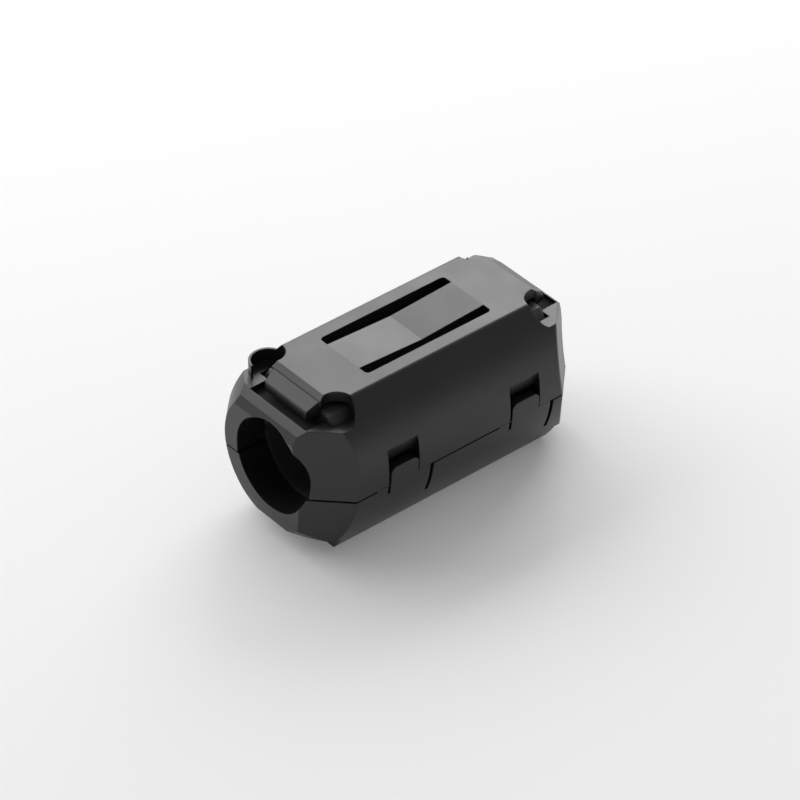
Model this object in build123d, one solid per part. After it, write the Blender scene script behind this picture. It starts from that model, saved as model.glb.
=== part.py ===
"""Clip-on ferrite bead: a hinged nylon case that snaps shut round a split ferrite core.

Millimetres, +Z up. X runs along the bore, -Y is the latch side and +Y the hinge side. The closed
clip rests on its lower flat, and the origin is the middle of its footprint. The shapes are drawn
about the bore axis and lifted to the resting height as they are exported.
"""
import os

from build123d import *

# Closed clip
body_length = 35.0
body_width = 17.4
body_height = 18.0
bore_diameter = 10.0  # through the core
collar_diameter = 10.5  # through the case's ends
flat_inset = 3.35  # long creases beside the flat top and bottom, in from the sides
crease_radius = 0.5
edge_radius = 0.4  # where the sides meet the noses and the large bevels

# Seam between the two halves
seam_drop = 1.45  # below the bore axis
seam_gap = 0.2

# Ends
bevel_run = 4.0  # sloped end of each flat, along the bore
upper_bevel_drop = 3.7
lower_bevel_drop = 2.1
upper_land_depth = 2.5  # end wall's top below the flat
lower_land_depth = 2.1
upper_face_lean = 0.4  # top of the end face, in from the case's end
lower_face_lean = 0.1
face_lean_height = 1.1
nose_inset = 1.5  # rim of the turned end face, where the 45 degree nose starts, in from the sides
latch_bevel_run = 4.1  # large bevels beside the latches, along the bore
latch_bevel_depth = 4.1  # and inwards from the side
upper_bevel_lean = 9.0  # degrees, as the bulging side leans away from the seam
lower_bevel_lean = 5.0

# Core retaining tabs
tab_root_width = 7.4
tab_tip_width = 6.4
tab_step = 0.25  # between the flat and the tab's sloped face
tab_reach = 1.9  # sloped face of the tab, along the bore
tab_drop = 1.45
tab_lip = 1.0  # upright lip below the sloped face
tab_lip_radius = 0.25
tab_slot = 0.9  # gap between the lip and the end wall
tab_pocket_depth = 3.2  # below the flat
tab_pocket_width = 8.8

# Relief holes beside the upper tabs, one of them with a raised rim
relief_diameter = 3.5
relief_setback = 0.25  # centres, in from the flat's ends along the creases
relief_rim_wall = 0.25
relief_rim_drop = 1.0  # top of the rim below the flat
relief_rim_height = 1.8
relief_rim_side = 0.25  # the rim stands only from this far outside the crease

# Walls
side_wall = 1.75
flat_wall = 1.2

# Spring strip in each flat, freed by two long slots
spring_length = 16.1
spring_width = 5.0
spring_slot = 1.2
spring_slot_radius = 0.45
spring_dip = 0.4

# Split ferrite core
core_inset = 3.6  # core's end, in from the case's end
core_clearance = 0.15
core_seat = 0.05  # between the core and what presses on it
core_corner_inset = 0.6  # sloped corner's upper edge, in from the crease
core_shoulder = 4.3  # sloped corner's lower edge, above the bore axis
core_edge = 0.3

# Snap latches
latch_pitch = 15.8
latch_shift = 0.55  # the pair sits off the middle
tongue_width = 3.5
tongue_rise = 2.0  # above the seam
tongue_wall = 1.0
tongue_root = 1.2  # below the seam, inside the lower wall
tongue_corner = 0.7
tongue_gap_left = 0.3  # beside the tongue, in its pocket
tongue_gap_right = 0.12
pocket_skin = 0.35  # wall left behind the pocket
pocket_top = 5.25  # above the seam, where the slope starts
pocket_slope_depth = 0.95
pocket_gap = 0.5  # between the tongue's tip and the slope
hook_height = 0.7
hook_reach = 0.3
ledge_base = 0.4  # above the seam
ledge_play = 0.05
slit_width = 0.35
slit_depth = 1.1  # below the seam, left of each tongue
relief_slit_width = 0.45
relief_slit_depth = 3.9
relief_slit_offset = 1.6  # right of each tongue
rim_pad_length = 1.7  # raised rim that closes the seam, left of each tongue
rim_pad_gap = 0.03

# Living hinge
hinge_length = 22.0
hinge_loop = 0.5  # outer radius of the folded film
hinge_film_wall = 0.3

# Cutting tools run past what they cut by this much
overrun = 2.0

half_length = body_length / 2
half_width = body_width / 2
half_height = body_height / 2
half_flat = half_width - flat_inset
bore_radius = bore_diameter / 2
collar_radius = collar_diameter / 2
core_length = body_length - 2 * core_inset
hinge_face = half_width - hinge_loop
cavity_half_length = core_length / 2 + core_clearance
cavity_half_width = half_width - side_wall
cavity_top = half_height - flat_wall
core_half_width = cavity_half_width - core_clearance
core_top = cavity_top - spring_dip - core_seat
core_half_flat = half_flat - core_corner_inset
tab_inner = core_length / 2 + core_seat
relief_x = half_length - bevel_run - relief_setback
tab_tip = half_length - bevel_run + tab_reach
pocket_wall = cavity_half_width + pocket_skin
latch_centres = [latch_shift - latch_pitch / 2, latch_shift + latch_pitch / 2]


def box(x0, x1, y0, y1, z0, z1):
    """A box between two corners."""
    size = (x1 - x0, y1 - y0, z1 - z0)
    centre = ((x0 + x1) / 2, (y0 + y1) / 2, (z0 + z1) / 2)
    return Pos(*centre) * Box(*size)


def across(points, x0, x1):
    """A prism along X from an outline in Y and Z."""
    outline = make_face(Polyline(*points, close=True))
    return Pos(x0, 0, 0) * extrude(Plane.YZ * outline, amount=x1 - x0)


def lengthwise(points, width):
    """A prism across Y, centred, from an outline in X and Z."""
    outline = make_face(Polyline(*points, close=True))
    return extrude(Plane.XZ * outline, amount=width / 2, both=True)


def barrel():
    """The long form: flat top and bottom, bulging sides, soft creases."""
    edges = [
        Line((-half_flat, half_height), (half_flat, half_height)),
        ThreePointArc((half_flat, half_height), (half_width, 0), (half_flat, -half_height)),
        Line((half_flat, -half_height), (-half_flat, -half_height)),
        ThreePointArc((-half_flat, -half_height), (-half_width, 0), (-half_flat, half_height)),
    ]
    section = make_face(edges)
    section = fillet(section.vertices(), crease_radius)
    return extrude(Plane.YZ * section, amount=half_length, both=True)


def latch_bevel(seam_level, lean):
    """What the large bevel beside the latches takes off at the +X end."""
    far = half_length + overrun
    face_side = latch_bevel_depth - half_width
    outside = half_width + overrun
    slant = latch_bevel_run * (outside + face_side) / latch_bevel_depth
    plan = [(half_length, face_side), (half_length - slant, -outside), (far, -outside), (far, face_side)]
    wedge = extrude(make_face(Polyline(*plan, close=True)), amount=body_height, both=True)
    side = Pos(0, -half_width, seam_level)
    return side * Rot(-lean, 0, 0) * Pos(0, half_width, 0) * wedge


def bevelled(form, seam_level, bevel_drop, bevel_lean, face_lean):
    """Slope the flat's ends, turn the noses and bevel the latch side's corners."""
    flat_end = half_length - bevel_run
    face_top_end = half_length - face_lean
    face_top = half_height - bevel_drop * (bevel_run - face_lean) / bevel_run
    face_foot = face_top - face_lean_height
    profile = lengthwise(
        [
            (-half_length, -half_height),
            (half_length, -half_height),
            (half_length, face_foot),
            (face_top_end, face_top),
            (flat_end, half_height),
            (-flat_end, half_height),
            (-face_top_end, face_top),
            (-half_length, face_foot),
        ],
        body_width + overrun,
    )
    nose_radius = half_width - nose_inset
    nose_rise = half_width + half_height - nose_radius
    nose = make_face(
        Polyline(
            (-half_length, 0),
            (-half_length, nose_radius),
            (nose_rise - half_length, nose_radius + nose_rise),
            (half_length - nose_rise, nose_radius + nose_rise),
            (half_length, nose_radius),
            (half_length, 0),
            close=True,
        )
    )
    bevel = latch_bevel(seam_level, bevel_lean)
    form = (form & profile & revolve(nose, Axis.X)) - bevel - mirror(bevel, Plane.YZ)
    spans = [(edge, edge.bounding_box().size) for edge in form.edges()]
    side_edges = [edge for edge, span in spans if span.Z > half_height and span.X > edge_radius]
    return fillet(side_edges, edge_radius)


def core_outline(grow, top):
    """Half core's outside in Y and Z, flat side up, grown by a clearance."""
    side = core_half_width + grow
    flat = core_half_flat + grow
    return [(side, core_shoulder), (flat, top), (-flat, top), (-side, core_shoulder)]


def spring_strip():
    """The strip that presses on the core: two gentle slopes that meet at mid length."""
    end = spring_length / 2 + overrun
    level_end = spring_length / 2
    underside = half_height - flat_wall
    outline = [
        (-end, half_height),
        (-level_end, half_height),
        (0, half_height - spring_dip),
        (level_end, half_height),
        (end, half_height),
        (end, underside),
        (level_end, underside),
        (0, underside - spring_dip),
        (-level_end, underside),
        (-end, underside),
    ]
    return lengthwise(outline, spring_width)


def tab():
    """The springy end of the flat that holds the core's end, at the +X end."""
    flat_end = half_length - bevel_run
    step_top = half_height - tab_step
    lip_top = half_height - tab_drop
    lip_bottom = lip_top - tab_lip
    underside = half_height - flat_wall
    outline = [
        (flat_end - overrun, half_height),
        (flat_end, half_height),
        (flat_end, step_top),
        (tab_tip, lip_top),
        (tab_tip, lip_bottom),
        (tab_inner, lip_bottom),
        (tab_inner, underside),
        (flat_end - overrun, underside),
    ]
    plate = lengthwise(outline, tab_root_width)
    lip_edge = plate.edges().filter_by(Axis.Y).sort_by_distance((tab_tip, 0, lip_top))[0]
    plate = fillet(lip_edge, tab_lip_radius)
    root_half = tab_root_width / 2
    tip_half = tab_tip_width / 2
    root = flat_end - overrun
    plan = [
        (root, -root_half),
        (flat_end, -root_half),
        (tab_tip, -tip_half),
        (tab_tip, tip_half),
        (flat_end, root_half),
        (root, root_half),
    ]
    return plate & extrude(make_face(Polyline(*plan, close=True)), amount=body_height)


def half_shell(seam_level, land_level, bevel_drop, bevel_lean, face_lean):
    """One half of the case with its flat up, before the latches are added."""
    high = half_height + overrun
    far = half_length + overrun
    wide = half_width + overrun
    shell = bevelled(barrel(), seam_level, bevel_drop, bevel_lean, face_lean)
    shell &= box(-far, far, -wide, hinge_face, seam_level, high)

    walls = core_outline(core_clearance, cavity_top)
    low = seam_level - overrun
    outline = walls + [(-cavity_half_width, low), (cavity_half_width, low)]
    shell -= across(outline, -cavity_half_length, cavity_half_length)
    shell -= Cylinder(collar_radius, body_length + overrun, rotation=(0, 90, 0))
    if seam_level < 0:
        shell -= box(-far, far, -collar_radius, collar_radius, low, 0)

    slots = Rectangle(spring_length, spring_width + 2 * spring_slot)
    slots = fillet(slots.vertices(), spring_slot_radius)
    shell -= Pos(0, 0, cavity_top - overrun) * extrude(slots, amount=overrun + high - cavity_top)
    shell += spring_strip()

    pocket_half = tab_pocket_width / 2
    pocket_end = tab_tip + tab_slot
    pocket_floor = half_height - tab_pocket_depth
    for end in (0, 180):
        turn = Rot(0, 0, end)
        shell -= turn * box(cavity_half_length, far, -wide, wide, land_level, high)
        shell -= turn * box(cavity_half_length, pocket_end, -pocket_half, pocket_half, pocket_floor, high)
        shell += turn * tab()
    return shell


def relief_rim():
    """The thin raised rim on the outer side of the relief hole at the hinge side's -X end."""
    radius = relief_diameter / 2
    top = half_height - relief_rim_drop
    foot = top - relief_rim_height
    ring = extrude(Circle(radius + relief_rim_wall) - Circle(radius), amount=relief_rim_height)
    wide = half_width + overrun
    ring = Pos(-relief_x, half_flat, foot) * ring
    return ring & box(-half_length, 0, half_flat + relief_rim_side, wide, foot, top)


def latch_pocket(centre):
    """The sloped recess of the upper half that a tongue snaps into."""
    seam = -seam_drop
    tip = seam + tongue_rise + pocket_gap
    outside = half_width + overrun
    outline = [
        (-half_width, seam + pocket_top),
        (pocket_slope_depth - half_width, tip),
        (-pocket_wall, tip),
        (-pocket_wall, seam - overrun),
        (-outside, seam - overrun),
        (-outside, seam + pocket_top),
    ]
    reach = tongue_width / 2
    return across(outline, centre - reach - tongue_gap_left, centre + reach + tongue_gap_right)


def latch_ledge(centre):
    """The step behind a tongue that its hook catches on."""
    base = ledge_base - seam_drop
    top = base + hook_height
    crest = half_width - tongue_wall - ledge_play
    outline = [(-pocket_wall, base), (-crest, top), (-pocket_wall, top)]
    reach = tongue_width / 2
    return across(outline, centre - reach, centre + reach)


def tongue(centre):
    """A snap tongue with rounded top corners and a hook on its inner face."""
    seam = -seam_drop
    tip = seam + tongue_rise
    inner = half_width - tongue_wall
    plate = Rectangle(tongue_width, tongue_rise + tongue_root)
    plate = fillet(plate.vertices().group_by(Axis.Y)[-1], tongue_corner)
    middle = (tip + seam - tongue_root) / 2
    blade = Pos(centre, -inner, middle) * extrude(Plane.XZ * plate, amount=tongue_wall + overrun)
    hook_base = ledge_base + hook_height + ledge_play - seam_drop
    outline = [(-inner, hook_base), (hook_reach - inner, hook_base), (-inner, hook_base + hook_height)]
    hook_half = tongue_width / 2 - tongue_corner
    return (blade & barrel()) + across(outline, centre - hook_half, centre + hook_half)


def upper_case():
    """Upper half of the case, with the relief holes and the latch pockets."""
    land_level = half_height - upper_land_depth
    case = half_shell(
        seam_level=seam_gap / 2 - seam_drop,
        land_level=land_level,
        bevel_drop=upper_bevel_drop,
        bevel_lean=upper_bevel_lean,
        face_lean=upper_face_lean,
    )
    relief = extrude(Circle(relief_diameter / 2), amount=body_height)
    reliefs = GridLocations(2 * relief_x, 2 * half_flat, 2, 2)
    case -= [Pos(0, 0, land_level) * place * relief for place in reliefs]
    case += relief_rim()
    for centre in latch_centres:
        case -= latch_pocket(centre)
        case += latch_ledge(centre)
    return case


def lower_case():
    """Lower half of the case, with the snap tongues and the slits that let them flex."""
    shell = half_shell(
        seam_level=seam_gap / 2 + seam_drop,
        land_level=half_height - lower_land_depth,
        bevel_drop=lower_bevel_drop,
        bevel_lean=lower_bevel_lean,
        face_lean=lower_face_lean,
    )
    case = mirror(shell, Plane.XY)
    seam = -seam_drop
    outside = half_width + overrun
    rim = seam - seam_gap / 2
    closed = seam + seam_gap / 2 - rim_pad_gap
    for centre in latch_centres:
        left = centre - tongue_width / 2
        right = centre + tongue_width / 2 + relief_slit_offset
        pad = box(left - rim_pad_length, right, -outside, -pocket_wall, rim, closed)
        case += pad & barrel()
        case -= box(left - slit_width, left, -outside, -pocket_wall, seam - slit_depth, seam)
        slit = box(right, right + relief_slit_width, -outside, -pocket_wall, seam - relief_slit_depth, seam)
        case -= slit
        case += tongue(centre)
    return case


def half_core():
    """Half of the split core with its mating faces on the bore axis."""
    outline = core_outline(0, core_top) + [(-core_half_width, 0), (core_half_width, 0)]
    core = across(outline, -core_length / 2, core_length / 2)
    core = chamfer(core.faces().sort_by(Axis.X)[0].edges(), core_edge)
    core = chamfer(core.faces().sort_by(Axis.X)[-1].edges(), core_edge)
    return core - Cylinder(bore_radius, body_length, rotation=(0, 90, 0))


def hinge_film():
    """The folded film that joins the halves along the seam."""
    loop = Circle(hinge_loop) - Circle(hinge_loop - hinge_film_wall)
    outer = Pos(hinge_loop, 0) * Rectangle(2 * hinge_loop, 2 * hinge_loop)
    film = extrude(Plane.YZ * (loop & outer), amount=hinge_length / 2, both=True)
    return Pos(0, hinge_face, -seam_drop) * film


nodes = {
    "upper_case": upper_case(),
    "lower_case": lower_case(),
    "upper_core": half_core(),
    "lower_core": mirror(half_core(), Plane.XY),
    "hinge_film": hinge_film(),
}

os.makedirs("parts", exist_ok=True)
for name, solid in nodes.items():
    placed = Pos(0, 0, half_height) * solid
    placed.label = name
    export_step(placed, f"parts/{name}.step")
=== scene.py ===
"""Looks of a clip-on ferrite bead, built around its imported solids.

Metres, +Z up. X runs along the bore, -Y is the latch side and +Y the hinge side.
"""
import math

import bmesh
import bpy
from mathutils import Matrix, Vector


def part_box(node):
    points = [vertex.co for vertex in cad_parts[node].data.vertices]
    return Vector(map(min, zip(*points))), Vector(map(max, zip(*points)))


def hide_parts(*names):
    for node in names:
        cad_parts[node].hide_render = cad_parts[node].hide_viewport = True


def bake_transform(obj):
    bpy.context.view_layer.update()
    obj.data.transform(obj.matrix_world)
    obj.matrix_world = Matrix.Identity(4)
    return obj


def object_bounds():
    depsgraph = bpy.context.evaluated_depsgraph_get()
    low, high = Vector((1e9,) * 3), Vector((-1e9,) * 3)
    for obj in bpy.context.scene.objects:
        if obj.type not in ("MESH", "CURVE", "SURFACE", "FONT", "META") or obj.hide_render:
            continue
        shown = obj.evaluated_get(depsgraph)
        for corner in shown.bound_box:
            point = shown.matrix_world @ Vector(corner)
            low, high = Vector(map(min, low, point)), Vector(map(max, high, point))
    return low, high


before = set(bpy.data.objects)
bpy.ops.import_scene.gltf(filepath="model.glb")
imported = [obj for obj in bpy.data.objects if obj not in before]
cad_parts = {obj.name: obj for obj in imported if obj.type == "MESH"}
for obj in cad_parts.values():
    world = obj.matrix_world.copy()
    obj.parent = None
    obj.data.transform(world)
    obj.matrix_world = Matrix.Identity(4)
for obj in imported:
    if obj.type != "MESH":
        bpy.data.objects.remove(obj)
cad_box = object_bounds()

# Lower half of the case: the moulding that lies on the table and carries the two snap tongues.
# Black nylon, injection moulded in one shot, with the fine matte skin of a spark-eroded mould.
MM = 0.001


def colour(code):
    """An sRGB hex colour as linear RGBA."""
    parts = [int(code[i : i + 2], 16) / 255 for i in (1, 3, 5)]
    return [p / 12.92 if p <= 0.04045 else ((p + 0.055) / 1.055) ** 2.4 for p in parts] + [1]


def add_node(tree, kind, settings=None, **links):
    """A node of that kind, with its settings and input sockets, and links from other nodes' outputs."""
    node = tree.nodes.new(kind)
    for name, value in (settings or {}).items():
        if name in node.inputs:
            node.inputs[name].default_value = value
        else:
            setattr(node, name, value)
    for name, output in links.items():
        tree.links.new(output, node.inputs[name.replace("_", " ")])
    return node


def new_material(name):
    """An empty node material with its Principled shader and Object coordinates."""
    material = bpy.data.materials.new(name)
    material.use_nodes = True
    tree = material.node_tree
    shader = tree.nodes["Principled BSDF"]
    place = add_node(tree, "ShaderNodeTexCoord").outputs["Object"]
    return material, tree, shader, place


nylon_dark = colour("#131314")
nylon_light = colour("#1b1b1c")
nylon_ior = 1.53
satin_range = {"From Min": 0.3, "From Max": 0.7, "To Min": 0.31, "To Max": 0.38}
skin_grain = 0.16 * MM
skin_depth = 0.01 * MM
skin_strength = 0.25
skin_detail = 2.0
flow_cloud = 5.0 * MM
flow_detail = 3.0
nylon_edge = 0.12 * MM
edge_samples = 6
slot_depth = 3.2 * MM
slot_floor = cad_box[1].z - slot_depth
slot_band = 0.1 * MM
slot_roughness = 0.9
level_limit = 0.95

# Satin black: the grain breaks up the gloss, and faint flow clouds change the sheen over a few mm.
nylon, tree, shader, place = new_material("black_nylon_moulded_satin")
cloud_settings = {"Scale": 1 / flow_cloud, "Detail": flow_detail}
clouds = add_node(tree, "ShaderNodeTexNoise", cloud_settings, Vector=place)
grain_settings = {"Scale": 1 / skin_grain, "Detail": skin_detail}
grain = add_node(tree, "ShaderNodeTexNoise", grain_settings, Vector=place)
# A Mix node takes two colours in sockets 6 and 7, or two numbers in sockets 2 and 3.
tint = add_node(tree, "ShaderNodeMix", {"data_type": "RGBA"})
tint.inputs[6].default_value = nylon_dark
tint.inputs[7].default_value = nylon_light
tree.links.new(clouds.outputs["Fac"], tint.inputs[0])
tree.links.new(tint.outputs[2], shader.inputs["Base Color"])
satin = add_node(tree, "ShaderNodeMapRange", satin_range, Value=clouds.outputs["Fac"])
# On the real clip the slots behind the core tabs are deep and dark. Here they are shallower, so the
# floors of the upper ones are dull.
height = add_node(tree, "ShaderNodeSeparateXYZ", Vector=place)
slope = add_node(tree, "ShaderNodeSeparateXYZ", Vector=place.node.outputs["Normal"])
at_floor = add_node(tree, "ShaderNodeMath", {"operation": "COMPARE"})
tree.links.new(height.outputs["Z"], at_floor.inputs[0])
at_floor.inputs[1].default_value = slot_floor
at_floor.inputs[2].default_value = slot_band
level = add_node(tree, "ShaderNodeMath", {"operation": "GREATER_THAN"})
tree.links.new(slope.outputs["Z"], level.inputs[0])
level.inputs[1].default_value = level_limit
in_slot = add_node(tree, "ShaderNodeMath", {"operation": "MULTIPLY"})
tree.links.new(at_floor.outputs[0], in_slot.inputs[0])
tree.links.new(level.outputs[0], in_slot.inputs[1])
roughness = add_node(tree, "ShaderNodeMix", {"data_type": "FLOAT"})
roughness.inputs[3].default_value = slot_roughness
tree.links.new(in_slot.outputs[0], roughness.inputs[0])
tree.links.new(satin.outputs["Result"], roughness.inputs[2])
tree.links.new(roughness.outputs[0], shader.inputs["Roughness"])
soft_edge = add_node(tree, "ShaderNodeBevel", {"samples": edge_samples, "Radius": nylon_edge})
skin_settings = {"Strength": skin_strength, "Distance": skin_depth}
skin = add_node(tree, "ShaderNodeBump", skin_settings, Height=grain.outputs["Fac"])
tree.links.new(soft_edge.outputs[0], skin.inputs["Normal"])
tree.links.new(skin.outputs["Normal"], shader.inputs["Normal"])
shader.inputs["IOR"].default_value = nylon_ior


def finish_node(name, material):
    """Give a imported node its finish."""
    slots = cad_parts[name].data.materials
    slots.clear()
    slots.append(material)


finish_node("lower_case", nylon)

# Upper half of the case: the same moulding's other half, with the latch pockets, core tabs and the
# slotted spring strip. Moulded in one with the lower half, and folded over it on the hinge.
finish_node("upper_case", nylon)

# Split ferrite core: two half sleeves pressed from powder and fired, with ground mating faces.
# The fired skin is charcoal grey and dull, with pores and paler grains of a fraction of a mm.
ferrite_dark = colour("#18181a")
ferrite_light = colour("#2c2c30")
ferrite_ior = 1.8
fired_grain = 0.25 * MM
grain_detail = 3.0
fired_mottle = 3.0 * MM
mottle_detail = 8.0
pore_depth = 0.02 * MM
pore_strength = 0.4
dull_range = {"From Min": 0.3, "From Max": 0.7, "To Min": 0.52, "To Max": 0.68}

ferrite, tree, shader, place = new_material("sintered_ferrite_fired")
mottle_settings = {"Scale": 1 / fired_mottle, "Detail": mottle_detail}
mottle = add_node(tree, "ShaderNodeTexNoise", mottle_settings, Vector=place)
fired_settings = {"Scale": 1 / fired_grain, "Detail": grain_detail}
pores = add_node(tree, "ShaderNodeTexNoise", fired_settings, Vector=place)
tint = add_node(tree, "ShaderNodeMix", {"data_type": "RGBA"})
tint.inputs[6].default_value = ferrite_dark
tint.inputs[7].default_value = ferrite_light
tree.links.new(mottle.outputs["Fac"], tint.inputs[0])
tree.links.new(tint.outputs[2], shader.inputs["Base Color"])
dull = add_node(tree, "ShaderNodeMapRange", dull_range, Value=pores.outputs["Fac"])
tree.links.new(dull.outputs["Result"], shader.inputs["Roughness"])
pore_settings = {"Strength": pore_strength, "Distance": pore_depth}
pitted = add_node(tree, "ShaderNodeBump", pore_settings, Height=pores.outputs["Fac"])
tree.links.new(pitted.outputs["Normal"], shader.inputs["Normal"])
shader.inputs["IOR"].default_value = ferrite_ior
finish_node("upper_core", ferrite)
finish_node("lower_core", ferrite)

# Living hinge: a thin film of the same nylon that joins both halves along the back.
# It is moulded flat with them and folds into a small loop as the clip closes.
film_low, film_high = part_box("hinge_film")
film_axis = Vector((film_low.x, film_low.y, (film_low.z + film_high.z) / 2))
film_radius = film_high.y - film_low.y
film_wall = 0.3 * MM
film_steps = 32
film_merge = 0.001 * MM

film_mesh = bmesh.new()
outer = film_mesh.verts.new(film_axis - Vector((0, 0, film_radius)))
inner = film_mesh.verts.new(film_axis - Vector((0, 0, film_radius - film_wall)))
rim = film_mesh.edges.new((outer, inner))
bmesh.ops.spin(
    film_mesh,
    geom=[rim],
    cent=film_axis,
    axis=(1, 0, 0),
    angle=math.pi,
    steps=film_steps,
)
swept = bmesh.ops.extrude_face_region(film_mesh, geom=film_mesh.faces[:])
far_end = [v for v in swept["geom"] if isinstance(v, bmesh.types.BMVert)]
bmesh.ops.translate(film_mesh, verts=far_end, vec=(film_high.x - film_low.x, 0, 0))
bmesh.ops.remove_doubles(film_mesh, verts=film_mesh.verts[:], dist=film_merge)
bmesh.ops.recalc_face_normals(film_mesh, faces=film_mesh.faces[:])
film_data = bpy.data.meshes.new("folded_hinge_film")
film_mesh.to_mesh(film_data)
film_mesh.free()
film_data.materials.append(nylon)
film = bpy.data.objects.new("folded_hinge_film", film_data)
bpy.context.scene.collection.objects.link(film)
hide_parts("hinge_film")
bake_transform(film)

# Table: a sheet of matte white paper under the clip. To the camera and in reflections a
# small share of it is plain white, so that the clip's shadow on it stays light.
floor_size = 3.0
floor_white = colour("#f6f6f6")
floor_roughness = 0.9
floor_gloss = 0.1
plain_white_share = 0.15
floor_mesh = bmesh.new()
bmesh.ops.create_grid(floor_mesh, x_segments=1, y_segments=1, size=floor_size / 2)
floor_data = bpy.data.meshes.new("paper_floor")
floor_mesh.to_mesh(floor_data)
floor_mesh.free()
paper, tree, shader = new_material("matte_white_paper")[:3]
shader.inputs["Base Color"].default_value = floor_white
shader.inputs["Roughness"].default_value = floor_roughness
shader.inputs["Specular IOR Level"].default_value = floor_gloss
plain_white = add_node(tree, "ShaderNodeEmission", {"Color": floor_white})
rays = add_node(tree, "ShaderNodeLightPath").outputs
shown = rays["Is Camera Ray"]
for kind in ("Is Glossy Ray", "Is Transmission Ray"):
    either = add_node(tree, "ShaderNodeMath", {"operation": "MAXIMUM"})
    tree.links.new(shown, either.inputs[0])
    tree.links.new(rays[kind], either.inputs[1])
    shown = either.outputs[0]
white_part = add_node(tree, "ShaderNodeMath", {"operation": "MULTIPLY"})
tree.links.new(shown, white_part.inputs[0])
white_part.inputs[1].default_value = plain_white_share
sheet = add_node(tree, "ShaderNodeMixShader", Fac=white_part.outputs[0])
tree.links.new(shader.outputs[0], sheet.inputs[1])
tree.links.new(plain_white.outputs[0], sheet.inputs[2])
tree.links.new(sheet.outputs[0], tree.nodes["Material Output"].inputs["Surface"])
floor_data.materials.append(paper)
floor = bpy.data.objects.new("paper_floor", floor_data)
bpy.context.scene.collection.objects.link(floor)

# Light: a wide softbox behind the clip, a smaller one at its far end, and a white room that is
# dimmer on the camera's side.
softbox_reach = 0.6
wide_size = (1.0, 0.35)
wide_power = 3.4
wide_from = Vector((0.0, 0.8, 0.6)).normalized()
end_size = (0.35, 0.35)
end_power = 1.4
end_from = Vector((0.75, 0.45, 0.5)).normalized()
room_back = Vector((0.64, 0.77, 0))
room_range = {"From Min": -1.0, "From Max": 1.0, "To Min": 0.12, "To Max": 0.7}

clip_middle = (cad_box[0] + cad_box[1]) / 2


def add_softbox(name, size, power, direction):
    """A soft area light that shines on the clip from that direction."""
    softbox = bpy.data.lights.new(name, "AREA")
    softbox.shape = "RECTANGLE"
    softbox.size, softbox.size_y = size
    softbox.energy = power
    lamp = bpy.data.objects.new(name, softbox)
    lamp.location = clip_middle + direction * softbox_reach
    lamp.rotation_euler = (-direction).to_track_quat("-Z", "Y").to_euler()
    bpy.context.scene.collection.objects.link(lamp)


add_softbox("wide_softbox", wide_size, wide_power, wide_from)
add_softbox("end_softbox", end_size, end_power, end_from)

room = bpy.data.worlds.new("white_room")
room.use_nodes = True
tree = room.node_tree
walls = tree.nodes["Background"]
walls.inputs["Color"].default_value = colour("#ffffff")
backwards = add_node(tree, "ShaderNodeVectorMath", {"operation": "DOT_PRODUCT"})
backwards.inputs[1].default_value = room_back
tree.links.new(add_node(tree, "ShaderNodeTexCoord").outputs["Generated"], backwards.inputs[0])
brightness = add_node(tree, "ShaderNodeMapRange", room_range, Value=backwards.outputs["Value"])
tree.links.new(brightness.outputs["Result"], walls.inputs["Strength"])
bpy.context.scene.world = room

# Camera: a long lens that looks down on the latch side and the near end.
view_turn = math.radians(39.97)
view_rise = math.radians(38.01)
view_distance = 477 * MM
lens_length = 213.4
sensor = 36.0
frame_shift = (-0.00723, -0.0052)

camera_data = bpy.data.cameras.new("long_lens")
camera_data.lens = lens_length
camera_data.sensor_width = sensor
camera_data.shift_x, camera_data.shift_y = frame_shift
camera = bpy.data.objects.new("long_lens", camera_data)
flat_reach = math.cos(view_rise)
towards_camera = Vector(
    (-math.sin(view_turn) * flat_reach, -math.cos(view_turn) * flat_reach, math.sin(view_rise))
)
camera.location = clip_middle + towards_camera * view_distance
camera.rotation_euler = (-towards_camera).to_track_quat("-Z", "Y").to_euler()
bpy.context.scene.collection.objects.link(camera)
bpy.context.scene.camera = camera
bpy.context.scene.view_settings.view_transform = "Standard"
